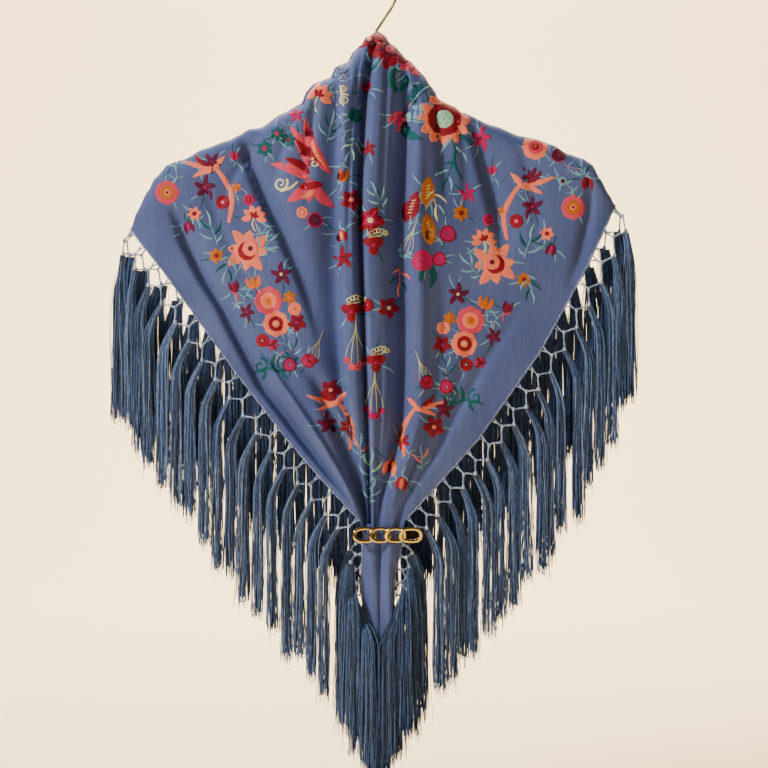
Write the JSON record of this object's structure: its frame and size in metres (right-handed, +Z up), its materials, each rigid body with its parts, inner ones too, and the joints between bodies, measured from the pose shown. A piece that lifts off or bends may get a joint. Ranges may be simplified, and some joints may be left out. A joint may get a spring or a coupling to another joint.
{
  "type": "shawl on a wire hanger",
  "caption": "Embroidered square shawl with a knotted fringe, folded on its diagonal over a wire hanger and drawn together in front by a chain-link scarf clip.",
  "frame": {"origin": "the highest point inside the hanger's hook, where the rail or nail that carries it bears, in the hanger's own plane", "axes": "+Z up, +Y towards the back of the shawl, so that its front faces -Y, and +X to the right as one faces the front"},
  "size_m": [0.5008, 0.0565, 0.8308],
  "materials": {
    "shawl_cloth": "blue-violet crepe, soft low sheen, with bright flat embroidery",
    "fringe": "silky blue-grey thread, soft sheen",
    "clip": "polished, gold-coloured",
    "hanger": "pale gold lacquered wire"
  },
  "bodies": {
    "root": {"back": "shawl_cloth", "front_left": "shawl_cloth", "front_right": "shawl_cloth", "tail_left": "shawl_cloth", "tail_right": "shawl_cloth", "fringe_back_left": "fringe", "fringe_back_right": "fringe", "fringe_front_left": "fringe", "fringe_front_right": "fringe", "fringe_tail_left": "fringe", "fringe_tail_right": "fringe", "clip_chain": "clip", "clip_band": "clip", "hanger_wire": "hanger"}
  },
  "joints": []
}
